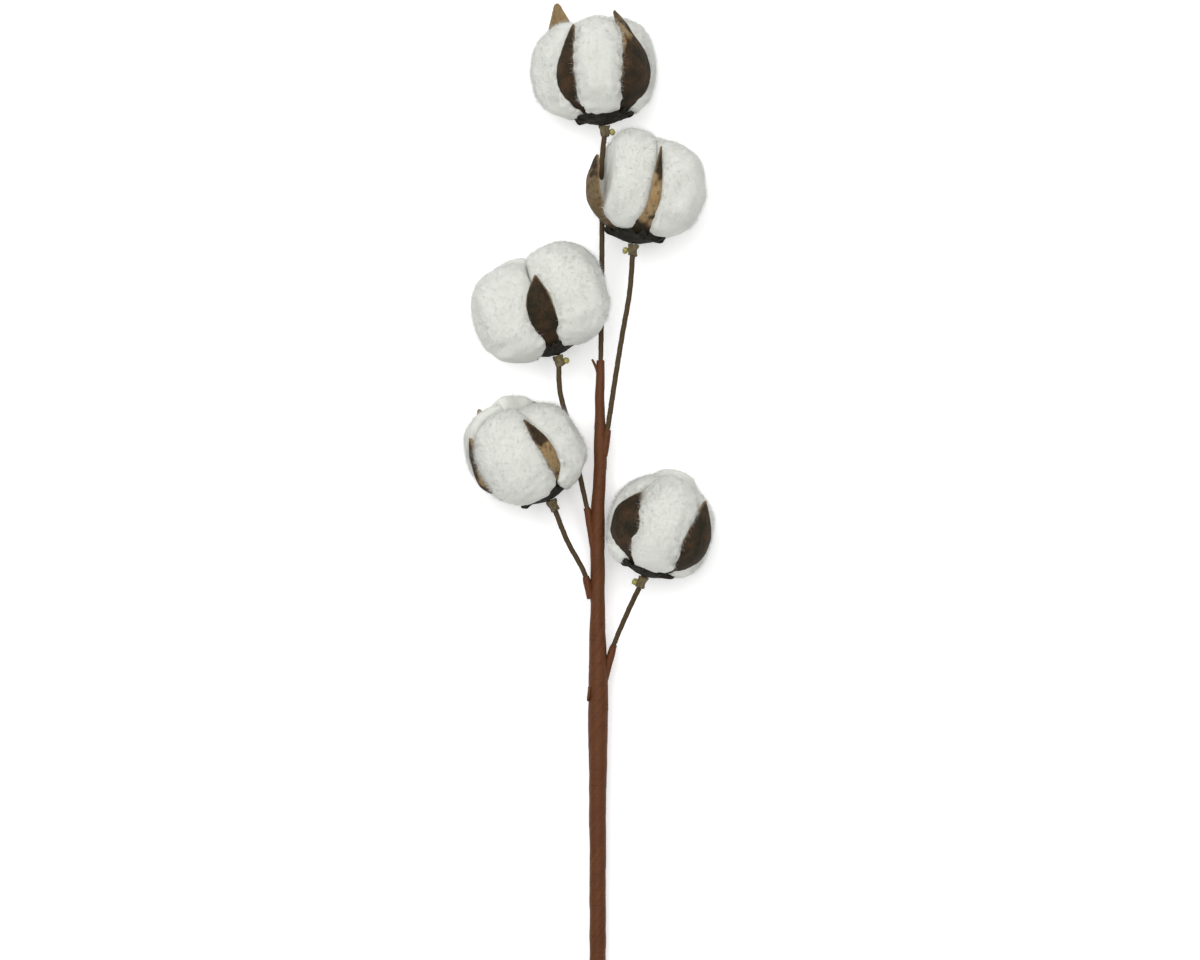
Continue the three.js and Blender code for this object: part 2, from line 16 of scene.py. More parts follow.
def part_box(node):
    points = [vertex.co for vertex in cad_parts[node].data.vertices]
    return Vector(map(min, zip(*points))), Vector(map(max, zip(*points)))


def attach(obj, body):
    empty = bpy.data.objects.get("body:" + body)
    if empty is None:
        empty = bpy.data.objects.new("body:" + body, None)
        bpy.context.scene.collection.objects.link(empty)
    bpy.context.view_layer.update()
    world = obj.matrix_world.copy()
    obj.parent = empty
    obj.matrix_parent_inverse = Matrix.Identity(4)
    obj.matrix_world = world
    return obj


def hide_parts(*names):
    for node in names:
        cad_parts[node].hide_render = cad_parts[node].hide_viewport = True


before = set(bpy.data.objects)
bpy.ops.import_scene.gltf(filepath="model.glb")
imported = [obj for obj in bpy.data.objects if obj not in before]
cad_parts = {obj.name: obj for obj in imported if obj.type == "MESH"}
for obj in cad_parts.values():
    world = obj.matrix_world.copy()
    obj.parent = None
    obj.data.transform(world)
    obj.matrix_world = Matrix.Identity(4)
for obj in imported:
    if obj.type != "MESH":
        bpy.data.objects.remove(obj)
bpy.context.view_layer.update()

# ---- Stalk wires ----------------------------
# Five lengths of thin steel wire carry the bolls. Each is wound in dark brown paper, whose edge runs
# round it in a long spiral, and each goes down through the taped stem as far as the cut end.

MM = 0.001
BOLLS = range(1, 6)
WIRE_STEP = 0.6 * MM
WIRE_SIDES = 10
PAPER_PITCH = 6 * MM
PAPER_EDGE = 0.11 * MM
RING_GAP = 3 * MM  # rings of a wire lie further apart than this
WELD_PLACES = 6  # decimals that corners at one place agree to


def node_points(node):
    """The corners of a CAD node's mesh, one to a row."""
    return np.array([vertex.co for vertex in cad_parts[node].data.vertices])


def wire_rings(node):
    """Centre and radius of each ring of a wire, from the cut end up."""
    points = np.unique(np.round(node_points(node), WELD_PLACES), axis=0)
    points = points[np.argsort(points[:, 1])]
    rings = np.split(points, np.where(np.diff(points[:, 1]) > RING_GAP)[0] + 1)
    centres = np.array([ring.mean(0) for ring in rings])
    radii = [np.linalg.norm(ring - ring.mean(0), axis=1).max() for ring in rings]
    return centres, np.array(radii)


def path_mesh(name, centres, radii):
    """A chain of edges along a path, with the radius kept at each point."""
    mesh = bpy.data.meshes.new(name)
    links = [(i, i + 1) for i in range(len(centres) - 1)]
    mesh.from_pydata([tuple(centre) for centre in centres], links, [])
    mesh.attributes.new("path_radius", "FLOAT", "POINT").data.foreach_set("value", radii)
    return mesh


def new_tree(name, inputs):
    """An empty Geometry Nodes tree with named inputs after its geometry."""
    tree = bpy.data.node_groups.new(name, "GeometryNodeTree")
    tree.interface.new_socket("Geometry", in_out="INPUT", socket_type="NodeSocketGeometry")
    for label, kind in inputs:
        tree.interface.new_socket(label, in_out="INPUT", socket_type="NodeSocket" + kind)
    tree.interface.new_socket("Geometry", in_out="OUTPUT", socket_type="NodeSocketGeometry")
    return tree, tree.nodes.new("NodeGroupInput")


def add_node(tree, kind, settings=None, **inputs):
    """One node, with its inputs linked where they are sockets and set where they are values."""
    node = tree.nodes.new(kind)
    for key, value in (settings or {}).items():
        setattr(node, key, value)
    for label, value in inputs.items():
        key = int(label[1:]) if label[1:].isdigit() else label.replace("_", " ")
        if isinstance(value, bpy.types.NodeSocket):
            tree.links.new(value, node.inputs[key])
        else:
            node.inputs[key].default_value = value
    return node


def worked_out(tree, operation, *values):
    """The result of one sum on numbers or sockets."""
    inputs = {f"i{index}": value for index, value in enumerate(values)}
    return add_node(tree, "ShaderNodeMath", {"operation": operation}, **inputs).outputs[0]


def kept_number(tree, name):
    """A number that the mesh keeps at each of its points."""
    return add_node(tree, "GeometryNodeInputNamedAttribute", {"data_type": "FLOAT"}, Name=name).outputs[0]


def end_tree(tree, start, geometry):
    """Gives a tree's geometry its material and puts it out."""
    painted = add_node(tree, "GeometryNodeSetMaterial", Geometry=geometry,
                       Material=start.outputs["Material"])
    end = tree.nodes.new("NodeGroupOutput")
    tree.links.new(painted.outputs[0], end.inputs[0])
    return tree


def new_object(name, data):
    """An object in the scene, at the origin."""
    holder = bpy.data.objects.new(name, data)
    bpy.context.scene.collection.objects.link(holder)
    return holder


def plain_result(holder):
    """What an object's modifiers make of its mesh, as a plain mesh in place of both."""
    mesh = holder.data
    evaluated = holder.evaluated_get(bpy.context.evaluated_depsgraph_get())
    result = bpy.data.meshes.new_from_object(evaluated)
    bpy.data.objects.remove(holder)
    bpy.data.meshes.remove(mesh)
    return result


def set_material(mesh, material):
    """Makes a material a mesh's only one."""
    mesh.materials.clear()
    mesh.materials.append(material)


def grow(tree, mesh, name, **inputs):
    """Runs a tree on a mesh and keeps the result as a plain mesh."""
    mesh.materials.append(inputs["Material"])
    holder = new_object(name, mesh)
    modifier = holder.modifiers.new("grow", "NODES")
    modifier.node_group = tree
    for item in tree.interface.items_tree:
        label = item.name.replace(" ", "_")
        if item.in_out == "INPUT" and label in inputs:
            modifier[item.identifier] = inputs[label]
    result = plain_result(holder)
    result.name = name
    set_material(result, inputs["Material"])
    return result


def wound_rod_tree():
    """A rod along a path, wound in a strip whose edge stands proud in a spiral."""
    inputs = [("Step", "Float"), ("Sides", "Int"), ("Pitch", "Float"), ("Edge", "Float")]
    tree, start = new_tree("wound rod", inputs + [("Material", "Material")])
    path = add_node(tree, "GeometryNodeMeshToCurve", Mesh=start.outputs["Geometry"])
    smooth = add_node(tree, "GeometryNodeCurveSplineType", {"spline_type": "CATMULL_ROM"},
                      Curve=path.outputs[0])
    even = add_node(tree, "GeometryNodeResampleCurve", {"mode": "LENGTH"},
                    Curve=smooth.outputs[0], Length=start.outputs["Step"])
    along = add_node(tree, "GeometryNodeSplineParameter")
    turns = worked_out(tree, "DIVIDE", along.outputs["Length"], start.outputs["Pitch"])
    angle = worked_out(tree, "MULTIPLY", turns, math.tau)
    twisted = add_node(tree, "GeometryNodeSetCurveTilt", Curve=even.outputs[0], Tilt=angle)
    held = add_node(tree, "GeometryNodeCaptureAttribute", Geometry=twisted.outputs[0])
    held.capture_items.new("FLOAT", "Along")
    tree.links.new(along.outputs["Length"], held.inputs[1])
    ring = add_node(tree, "GeometryNodeCurvePrimitiveCircle", Resolution=start.outputs["Sides"],
                    Radius=1.0)
    about = add_node(tree, "GeometryNodeSplineParameter")
    kept = add_node(tree, "GeometryNodeCaptureAttribute", Geometry=ring.outputs[0])
    kept.capture_items.new("FLOAT", "About")
    tree.links.new(about.outputs["Factor"], kept.inputs[1])
    rod = add_node(tree, "GeometryNodeCurveToMesh", Curve=held.outputs[0], Profile_Curve=kept.outputs[0],
                   Scale=kept_number(tree, "path_radius"), Fill_Caps=True)
    rise = worked_out(tree, "MULTIPLY", kept.outputs[1], start.outputs["Edge"])
    normal = add_node(tree, "GeometryNodeInputNormal")
    lift = add_node(tree, "ShaderNodeVectorMath", {"operation": "SCALE"}, Vector=normal.outputs[0],
                    Scale=rise)
    wound = add_node(tree, "GeometryNodeSetPosition", Geometry=rod.outputs[0], Offset=lift.outputs[0])
    grain = add_node(tree, "ShaderNodeCombineXYZ", X=kept.outputs[1], Y=held.outputs[1])
    stored = add_node(tree, "GeometryNodeStoreNamedAttribute", {"data_type": "FLOAT_VECTOR"},
                      Geometry=wound.outputs[0], Name="grain", Value=grain.outputs[0])
    whole = add_node(tree, "GeometryNodeRealizeInstances", Geometry=stored.outputs[0])
    return end_tree(tree, start, whole.outputs[0])


def shown_piece(name, mesh, node):
    """Puts a finished mesh in the scene as the piece that stands for its CAD node."""
    for polygon in mesh.polygons:
        polygon.use_smooth = True
    piece = new_object(name, mesh)
    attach(piece, "root")
    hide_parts(node)


def new_material(name, roughness, specular):
    """A material with its shader's even values set, and its tree and shader to build on."""
    material = bpy.data.materials.new(name)
    material.use_nodes = True
    shader = material.node_tree.nodes["Principled BSDF"]
    shader.inputs["Roughness"].default_value = roughness
    shader.inputs["Specular IOR Level"].default_value = specular
    return material, material.node_tree, shader


def dry_grain_group():
    """Long streaks and loose blotches of dry plant or paper, from a coordinate that follows it."""
    group = bpy.data.node_groups.new("dry grain", "ShaderNodeTree")
    group.interface.new_socket("Vector", in_out="INPUT", socket_type="NodeSocketVector")
    for label in ("Across", "Along", "Blotch Size"):
        group.interface.new_socket(label, in_out="INPUT", socket_type="NodeSocketFloat")
    for label in ("Streak", "Blotch", "Height"):
        group.interface.new_socket(label, in_out="OUTPUT", socket_type="NodeSocketFloat")
    start = group.nodes.new("NodeGroupInput")
    stretch = add_node(group, "ShaderNodeCombineXYZ", X=start.outputs["Across"],
                       Y=start.outputs["Along"], Z=start.outputs["Across"])
    drawn = add_node(group, "ShaderNodeVectorMath", {"operation": "MULTIPLY"},
                     i0=start.outputs["Vector"], i1=stretch.outputs[0])
    streak = add_node(group, "ShaderNodeTexNoise", Vector=drawn.outputs[0], Scale=1.0, Detail=5.0,
                      Roughness=0.62)
    blotch = add_node(group, "ShaderNodeTexNoise", Vector=start.outputs["Vector"],
                      Scale=start.outputs["Blotch Size"], Detail=4.0, Roughness=0.55)
    sharp = add_node(group, "ShaderNodeMapRange", Value=streak.outputs["Fac"], From_Min=0.3,
                     From_Max=0.7)
    spread = add_node(group, "ShaderNodeMapRange", Value=blotch.outputs["Fac"], From_Min=0.35,
                      From_Max=0.65)
    height = worked_out(group, "MULTIPLY_ADD", sharp.outputs[0], 0.7, blotch.outputs["Fac"])
    end = group.nodes.new("NodeGroupOutput")
    group.links.new(sharp.outputs[0], end.inputs["Streak"])
    group.links.new(spread.outputs[0], end.inputs["Blotch"])
    group.links.new(height, end.inputs["Height"])
    return group


dry_grain = dry_grain_group()


def blend_colours(tree, share, first, second):
    """Mixes two colours, each a fixed one or a socket."""
    node = tree.nodes.new("ShaderNodeMix")
    node.data_type = "RGBA"
    if isinstance(share, bpy.types.NodeSocket):
        tree.links.new(share, node.inputs[0])
    else:
        node.inputs[0].default_value = share
    for index, colour in ((6, first), (7, second)):
        if isinstance(colour, bpy.types.NodeSocket):
            tree.links.new(colour, node.inputs[index])
        else:
            node.inputs[index].default_value = (*colour, 1)
    return node.outputs[2]


def grain_nodes(tree, across, along, blotch):
    """The dry grain, run along a piece's own grain."""
    source = add_node(tree, "ShaderNodeAttribute", {"attribute_name": "grain"})
    return add_node(tree, "ShaderNodeGroup", {"node_tree": dry_grain}, Vector=source.outputs["Vector"],
                    Across=across, Along=along, Blotch_Size=blotch)


def surface(tree, shader, colour, height, depth):
    """Gives a shader its colour, and fine relief from a height, as deep as the depth in metres."""
    tree.links.new(colour, shader.inputs["Base Color"])
    bump = add_node(tree, "ShaderNodeBump", Height=height, Strength=1.0, Distance=depth)
    tree.links.new(bump.outputs[0], shader.inputs["Normal"])


def wire_paper():
    """Matt dark brown paper, streaked round the wire."""
    material, tree, shader = new_material("brown wire paper", 0.78, 0.15)
    grain = grain_nodes(tree, 9.0, 260.0, 90.0)
    fibres = blend_colours(tree, grain.outputs["Streak"], (0.046, 0.034, 0.017), (0.108, 0.082, 0.042))
    colour = blend_colours(tree, grain.outputs["Blotch"], fibres, (0.068, 0.040, 0.021))
    surface(tree, shader, colour, grain.outputs["Height"], 0.05 * MM)
    return material


wound_rod = wound_rod_tree()
paper = wire_paper()
wire_paths = {}
for number in BOLLS:
    node = f"stalk_wire_{number}"
    wire_paths[number] = wire_rings(node)
    mesh = grow(wound_rod, path_mesh(node, *wire_paths[number]), f"wire_{number}", Step=WIRE_STEP,
                Sides=WIRE_SIDES, Pitch=PAPER_PITCH, Edge=PAPER_EDGE, Material=paper)
    shown_piece(f"paper_wire_{number}", mesh, node)

# ---- Stem tape ----------------------------
# The wires are bound with brown waxed crepe tape, stretched and wound up the stem in steep turns. It
# runs a little way out on each wire that leaves, and its torn end curls off at the top.

TAPE_STEP = 0.7 * MM
TAPE_SIDES = 32
TAPE_PITCH = 34 * MM
TAPE_EDGE = 0.16 * MM
CUT_RECESS = 0.7 * MM
TOP_EDGE = 1.2 * MM
STEM_LEVELS = 88
STEM_RAYS = 24
RAY_START = 20 * MM  # well outside the stem
MIDDLE_EVENING = 3  # levels each side that the stem's middle line is averaged over
RADIUS_EVENING = 1
BUNDLE_REACH = 3.7 * MM  # wires this near the first one are still bound to it
SLEEVE_SIDES = 16
SLEEVE_STEP = 1 * MM
SLEEVE_RADIUS = 1.62 * MM
SLEEVE_START = 2.3 * MM  # from the stem's middle
SLEEVE_SEARCH = 3 * MM  # a wire with tape nearer than this is still covered
SLEEVE_LEAD = 6 * MM  # how far a sleeve begins inside the winding
SLEEVE_NARROWING = 0.18  # share of its radius that a sleeve loses at its end
NARROWING_START = 0.75  # share of its length
STRIP_POINTS = 8
STRIP_COLUMNS = 5
STRIP_THICKNESS = 0.36 * MM
STRIP_BOW = 0.18  # rise of a strip's middle, to its width
STRIP_ACROSS = Vector((0.25, 0, 1))
TORN_END_WIDTH = 2.6 * MM
TORN_END_LENGTH = 6.5 * MM
TORN_END_LEAD = 6 * MM  # how far below the top the torn end begins
FLAP_WIDTH = 3.2 * MM
FLAP_LENGTH = 6 * MM
FLAP_HEIGHT = 214 * MM  # above the cut end
FINE_CREPE = 0.10 * MM
FINE_CREPE_SIZE = 1.6 * MM
BROAD_CREPE = 0.16 * MM
BROAD_CREPE_SIZE = 5 * MM

stem_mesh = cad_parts["stem_tape"].data
stem_surface = BVHTree.FromPolygons([vertex.co for vertex in stem_mesh.vertices],
                                    [tuple(polygon.vertices) for polygon in stem_mesh.polygons])
stem_low, stem_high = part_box("stem_tape")


def point_at(centres, height):
    """The point of a path at a height along the spray."""
    return np.array([np.interp(height, centres[:, 1], centres[:, axis]) for axis in range(3)])


def wire_at(number, height):
    """The middle of a wire at a height along the spray."""
    return point_at(wire_paths[number][0], height)


def stem_reach(middle, angle):
    """How far the stem's skin is from a point inside it, looking in from outside."""
    outward = Vector((math.cos(angle), 0, math.sin(angle)))
    start = Vector(middle) + outward * RAY_START
    hit = stem_surface.ray_cast(start, -outward)[0]
    return 0 if hit is None else (hit - Vector(middle)).length


def even_out(values, reach):
    """A running mean along a list of numbers or points."""
    return np.array([values[max(i - reach, 0):i + reach + 1].mean(0) for i in range(len(values))])


def stem_profile():
    """The stem's middle line and its radius, measured on its solid every few millimetres."""
    heights = np.linspace(stem_low.y + CUT_RECESS, stem_high.y - TOP_EDGE, STEM_LEVELS)
    angles = np.linspace(0, math.tau, STEM_RAYS, endpoint=False)
    centres, radii = [], []
    for height in heights:
        middle = wire_at(1, height)
        bound = [wire_at(number, height) for number in BOLLS
                 if wire_paths[number][0][-1, 1] > height
                 and np.linalg.norm(wire_at(number, height) - middle) < BUNDLE_REACH]
        middle = np.mean(bound, axis=0)
        centres.append(middle)
        radii.append(np.median([stem_reach(middle, angle) for angle in angles]))
    middle_line = even_out(np.array(centres), MIDDLE_EVENING)
    middle_line[:, 1] = heights
    return middle_line, even_out(np.array(radii), RADIUS_EVENING)


def sleeve_path(number):
    """The stretch of a leaving wire that the tape still covers, and the tape's radius on it."""
    covered = []
    for height in np.arange(stem_centres[0, 1], stem_high.y, SLEEVE_STEP):
        centre = wire_at(number, height)
        away = Vector(centre - point_at(stem_centres, height))
        if away.length < SLEEVE_START or height > wire_paths[number][0][-1, 1]:
            continue
        if stem_surface.ray_cast(Vector(centre), away.normalized(), SLEEVE_SEARCH)[0] is not None:
            covered.append(height)
    heights = np.arange(covered[0] - SLEEVE_LEAD, covered[-1] + SLEEVE_STEP, SLEEVE_STEP)
    centres = np.array([wire_at(number, height) for height in heights])
    past = np.clip((np.linspace(0, 1, len(centres)) - NARROWING_START) / (1 - NARROWING_START), 0, 1)
    return centres, SLEEVE_RADIUS * (1 - SLEEVE_NARROWING * past ** 2)


def torn_end_path():
    """The tape's torn end, from inside the winding to where it curls off the top."""
    top = Vector(stem_centres[-1])
    start = -0.7 * stem_radii[-1]
    return [top + Vector((start - 2.2 * MM * t ** 1.6, TORN_END_LENGTH * t - TORN_END_LEAD, 0.6 * MM * t))
            for t in np.linspace(0, 1, STRIP_POINTS)]


def flap_path():
    """A lifted edge of tape, pointing down the stem's left side."""
    height = stem_low.y + FLAP_HEIGHT
    middle = Vector(point_at(stem_centres, height))
    reach = float(np.interp(height, stem_centres[:, 1], stem_radii))
    return [middle + Vector((-reach + 0.25 * MM - 0.7 * MM * t ** 2, -FLAP_LENGTH * t, 1.4 * MM))
            for t in np.linspace(0, 1, STRIP_POINTS)]


def tape_strip(path, width):
    """A thin closed strip of tape along a path, bowed across and rounded at its far end."""
    bm = bmesh.new()
    rows = []
    last = len(path) - 1
    for i, centre in enumerate(path):
        ahead = (path[min(i + 1, last)] - path[max(i - 1, 0)]).normalized()
        side = (STRIP_ACROSS - ahead * STRIP_ACROSS.dot(ahead)).normalized()
        up = side.cross(ahead)
        half = width / 2 * math.sqrt(max(1 - (i / last) ** 6, 0.02))
        row = []
        for face in (-1, 1):
            for k in range(STRIP_COLUMNS):
                t = 2 * k / (STRIP_COLUMNS - 1) - 1
                rise = STRIP_BOW * width * (1 - t * t) + face * STRIP_THICKNESS / 2
                row.append(bm.verts.new(centre + side * (half * t) + up * rise))
        rows.append((row[:STRIP_COLUMNS], row[STRIP_COLUMNS:]))
    for (under, over), (next_under, next_over) in zip(rows, rows[1:]):
        for k in range(STRIP_COLUMNS - 1):
            bm.faces.new((under[k + 1], under[k], next_under[k], next_under[k + 1]))
            bm.faces.new((over[k], over[k + 1], next_over[k + 1], next_over[k]))
        bm.faces.new((under[0], over[0], next_over[0], next_under[0]))
        bm.faces.new((over[-1], under[-1], next_under[-1], next_over[-1]))
    for k in range(STRIP_COLUMNS - 1):
        under, over = rows[0]
        bm.faces.new((under[k], under[k + 1], over[k + 1], over[k]))
        under, over = rows[-1]
        bm.faces.new((under[k + 1], under[k], over[k], over[k + 1]))
    bmesh.ops.subdivide_edges(bm, edges=bm.edges, cuts=1, use_grid_fill=True, smooth=0.6)
    bmesh.ops.recalc_face_normals(bm, faces=bm.faces)
    mesh = bpy.data.meshes.new("strip")
    bm.to_mesh(mesh)
    bm.free()
    mesh.materials.append(tape)
    return mesh


def joined(name, meshes):
    """Several meshes as one, with their attributes kept."""
    parts = [new_object(name, mesh) for mesh in meshes]
    with bpy.context.temp_override(active_object=parts[0], selected_editable_objects=parts):
        bpy.ops.object.join()
    mesh = parts[0].data
    bpy.data.objects.remove(parts[0])
    return mesh


def coordinates(mesh):
    """A mesh's points, one to a row."""
    points = np.empty(len(mesh.vertices) * 3)
    mesh.vertices.foreach_get("co", points)
    return points.reshape(-1, 3)


def outward_normals(mesh):
    """The way out from a mesh at each of its points."""
    normals = np.empty(len(mesh.vertices) * 3)
    mesh.vertex_normals.foreach_get("vector", normals)
    return normals.reshape(-1, 3)


def set_coordinates(mesh, points):
    """Moves a mesh's points to new places."""
    mesh.vertices.foreach_set("co", points.ravel())
    mesh.update()


def push_out(mesh, points, heights):
    """Sets a mesh's points a height each along its normals, out from the places given."""
    set_coordinates(mesh, points + outward_normals(mesh) * heights[:, None])


def roughness_at(points, size, seed):
    """Smooth random heights, from -1 to 1, at points given in metres."""
    shift = Vector((3.17 * seed, 1.71 * seed, 2.39 * seed))
    return np.array([noise.noise(Vector(point) / size + shift) for point in points])


def stem_tape_material():
    """Waxed red-brown crepe, streaked along the stem, with painted shade darkening the hollows of its
    fine folds.
    """
    material, tree, shader = new_material("brown stem tape", 0.55, 0.18)
    grain = grain_nodes(tree, 16.0, 24.0, 26.0)
    crepe = grain_nodes(tree, 3.0, 900.0, 60.0)
    streak = blend_colours(tree, grain.outputs["Streak"], (0.064, 0.020, 0.0055), (0.132, 0.047, 0.0145))
    warm = blend_colours(tree, grain.outputs["Blotch"], streak, (0.098, 0.031, 0.0095))
    # Painted shade: the crepe's fine folds are coloured darker where their relief sinks lowest.
    painted_fold_shade = add_node(tree, "ShaderNodeMapRange", Value=crepe.outputs["Streak"], From_Min=0.0,
                    From_Max=0.35)
    colour = blend_colours(tree, painted_fold_shade.outputs[0], (0.058, 0.021, 0.0075), warm)
    surface(tree, shader, colour, crepe.outputs["Height"], 0.10 * MM)
    return material


stem_centres, stem_radii = stem_profile()
tape = stem_tape_material()
tape_settings = {"Step": TAPE_STEP, "Pitch": TAPE_PITCH, "Edge": TAPE_EDGE, "Material": tape}
windings = [grow(wound_rod, path_mesh("stem", stem_centres, stem_radii), "stem", Sides=TAPE_SIDES,
                 **tape_settings)]
for number in BOLLS[1:]:
    windings.append(grow(wound_rod, path_mesh("sleeve", *sleeve_path(number)), "sleeve",
                         Sides=SLEEVE_SIDES, **tape_settings))

windings.append(tape_strip(torn_end_path(), TORN_END_WIDTH))
windings.append(tape_strip(flap_path(), FLAP_WIDTH))
mesh = joined("stem", windings)
points = coordinates(mesh)
crumple = roughness_at(points * (1, 0.3, 1), FINE_CREPE_SIZE, 2) * FINE_CREPE
crumple += roughness_at(points * (1, 0.55, 1), BROAD_CREPE_SIZE, 3) * BROAD_CREPE
push_out(mesh, points, crumple)
shown_piece("stem_tape_winding", mesh, "stem_tape")

# ---- Pedicels and glue ----------------------------
# Under each boll is the short woody stub of its own stalk, bored for the wire. A bead of hot glue,
# translucent and yellow-green, has oozed out where the wire goes in.

STUB_VOXEL = 0.24 * MM
STUB_RIBS = 7
RIB_HEIGHT = 0.16 * MM
KNOT_HEIGHT = 0.75 * MM
KNOT_SIZE = 1.9 * MM
BEAD_VOXEL = 0.2 * MM
BEAD_SWELL = 0.1 * MM
DRIP_HEIGHT = 0.35 * MM
DRIP_SIZE = 1.4 * MM
MERGE_REACH = 0.002 * MM
BOLL_SPACING = 100 * MM  # between the grain of one boll and the next


def merged_copy(node):
    """A copy of a CAD node's mesh with its loose triangles joined at their corners."""
    bm = bmesh.new()
    bm.from_mesh(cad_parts[node].data)
    bmesh.ops.remove_doubles(bm, verts=bm.verts, dist=MERGE_REACH)
    return bm


def mesh_of(bm, name):
    """A mesh from its working copy, with the CAD's own normals left out."""
    mesh = bpy.data.meshes.new(name)
    bm.to_mesh(mesh)
    bm.free()
    if "custom_normal" in mesh.attributes:
        mesh.attributes.remove(mesh.attributes["custom_normal"])
    return mesh


def finished(mesh, *steps):
    """Runs modifiers on a mesh, each a kind and its settings, and keeps the result."""
    holder = new_object(mesh.name, mesh)
    for kind, settings in steps:
        modifier = holder.modifiers.new(kind, kind)
        for key, value in settings.items():
            setattr(modifier, key, value)
    return plain_result(holder)


def rounded(mesh, voxel, easing, rounds):
    """A mesh's shape in small even faces, with its corners eased."""
    return finished(mesh, ("REMESH", {"mode": "VOXEL", "voxel_size": voxel}),
                    ("SMOOTH", {"factor": easing, "iterations": rounds}))


class BollFrame:
    """A boll's own axes: right, along its axis, and up from the surface."""

    def __init__(self, number):
        stub = node_points(f"boll_{number}_pedicel").mean(0)
        bur = node_points(f"boll_{number}_bur")
        axis = node_points(f"boll_{number}_calyx").mean(0) - stub
        axis[2] = 0
        self.axis = axis / np.linalg.norm(axis)
        self.right = np.array([self.axis[1], -self.axis[0], 0])
        self.up = np.array([0, 0, 1.0])
        self.foot = stub + self.axis * ((bur @ self.axis).min() - stub @ self.axis)
        self.turn = np.array([self.right, self.axis, self.up])

    def local(self, points):
        """Points in the boll's own axes."""
        return (points - self.foot) @ self.turn.T

    def world(self, points):
        """Points back from the boll's own axes."""
        return points @ self.turn + self.foot


def around_axis(local):
    """Each point's angle about a boll's axis, 0 at its front, and its distance from the axis."""
    return np.arctan2(local[:, 0], local[:, 2]), np.hypot(local[:, 0], local[:, 2])


def from_axis(angle, reach, height):
    """Points from their angles about a boll's axis, their distances from it and their heights."""
    return np.stack([np.sin(angle) * reach, height, np.cos(angle) * reach], 1)


def store_vector(mesh, name, values):
    """Keeps a vector at each point of a mesh for its material."""
    mesh.attributes.new(name, "FLOAT_VECTOR", "POINT").data.foreach_set("vector", values.ravel())


def store_share(mesh, name, values):
    """Keeps a number at each point of a mesh for its material or its fuzz."""
    mesh.attributes.new(name, "FLOAT", "POINT").data.foreach_set("value", values)


def boll_grain(local, number):
    """A boll's own axes in millimetres, set apart from the other bolls' so that no two match."""
    return (local + (0, 0, BOLL_SPACING * number)) / MM


def stub_material():
    """Dry golden-brown wood, streaked along the stub."""
    material, tree, shader = new_material("golden stub", 0.55, 0.35)
    grain = grain_nodes(tree, 1.6, 0.35, 0.5)
    streak = blend_colours(tree, grain.outputs["Streak"], (0.060, 0.042, 0.016), (0.240, 0.190, 0.085))
    colour = blend_colours(tree, grain.outputs["Blotch"], (0.075, 0.055, 0.024), streak)
    surface(tree, shader, colour, grain.outputs["Height"], 0.2 * MM)
    return material


def glue_material():
    """Cloudy yellow-green glue that lets some light in."""
    material, tree, shader = new_material("hot glue", 0.22, 0.5)
    place = add_node(tree, "ShaderNodeTexCoord")
    cloud = add_node(tree, "ShaderNodeTexNoise", Vector=place.outputs["Object"], Scale=900.0, Detail=3.0)
    colour = blend_colours(tree, cloud.outputs["Fac"], (0.165, 0.150, 0.030), (0.420, 0.390, 0.120))
    shader.inputs["Subsurface Weight"].default_value = 0.5
    shader.inputs["Subsurface Scale"].default_value = 1.2 * MM
    surface(tree, shader, colour, cloud.outputs["Fac"], 0.15 * MM)
    return material


boll_frames = {number: BollFrame(number) for number in BOLLS}
stub_wood = stub_material()
glue = glue_material()
for number in BOLLS:
    about = boll_frames[number]
    mesh = rounded(mesh_of(merged_copy(f"boll_{number}_pedicel"), "stub"), STUB_VOXEL, 0.5, 2)
    points = coordinates(mesh)
    local = about.local(points)
    ribs = RIB_HEIGHT * np.cos(STUB_RIBS * around_axis(local)[0] + number)
    knots = KNOT_HEIGHT * roughness_at(points, KNOT_SIZE, number)
    push_out(mesh, points, ribs + knots)
    store_vector(mesh, "grain", boll_grain(local, number))
    set_material(mesh, stub_wood)
    shown_piece(f"boll_{number}_stub", mesh, f"boll_{number}_pedicel")
    bead = f"boll_{number}_glue_bead"
    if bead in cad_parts:
        mesh = rounded(mesh_of(merged_copy(bead), "bead"), BEAD_VOXEL, 0.5, 3)
        points = coordinates(mesh)
        push_out(mesh, points, DRIP_HEIGHT * roughness_at(points, DRIP_SIZE, 20 + number) + BEAD_SWELL)
        set_material(mesh, glue)
        shown_piece(f"boll_{number}_glue", mesh, bead)

# ---- Calyxes ----------------------------
# A thin dry dish hugs the bottom of each bur. It is what is left of the flower's calyx, nearly black,
# with a torn and crumbling rim.

CALYX_LEVELS = 3
CALYX_FOOT = 8 * MM  # the dish is whole this near its middle
CALYX_RIM = 4 * MM
TEAR_HEIGHT = 1.9 * MM
TEAR_SPREAD = 0.5  # how far a tear leans out, to its height
CRUMBLE_HEIGHT = 0.22 * MM
CRUMBLE_SIZE = 2.2 * MM


def quads_of(node):
    """A CAD node's copy with its triangles paired into four-sided faces again."""
    bm = merged_copy(node)
    bmesh.ops.join_triangles(bm, faces=bm.faces, angle_face_threshold=math.radians(50),
                             angle_shape_threshold=math.radians(70), cmp_seam=False, cmp_sharp=False)
    return mesh_of(bm, node)


def calyx_material():
    """Nearly black dry leaf with grey streaks."""
    material, tree, shader = new_material("dry calyx", 0.85, 0.15)
    grain = grain_nodes(tree, 0.9, 0.35, 0.3)
    streak = blend_colours(tree, grain.outputs["Streak"], (0.008, 0.007, 0.005), (0.058, 0.052, 0.041))
    colour = blend_colours(tree, grain.outputs["Blotch"], streak, (0.017, 0.016, 0.011))
    surface(tree, shader, colour, grain.outputs["Height"], 0.35 * MM)
    return material


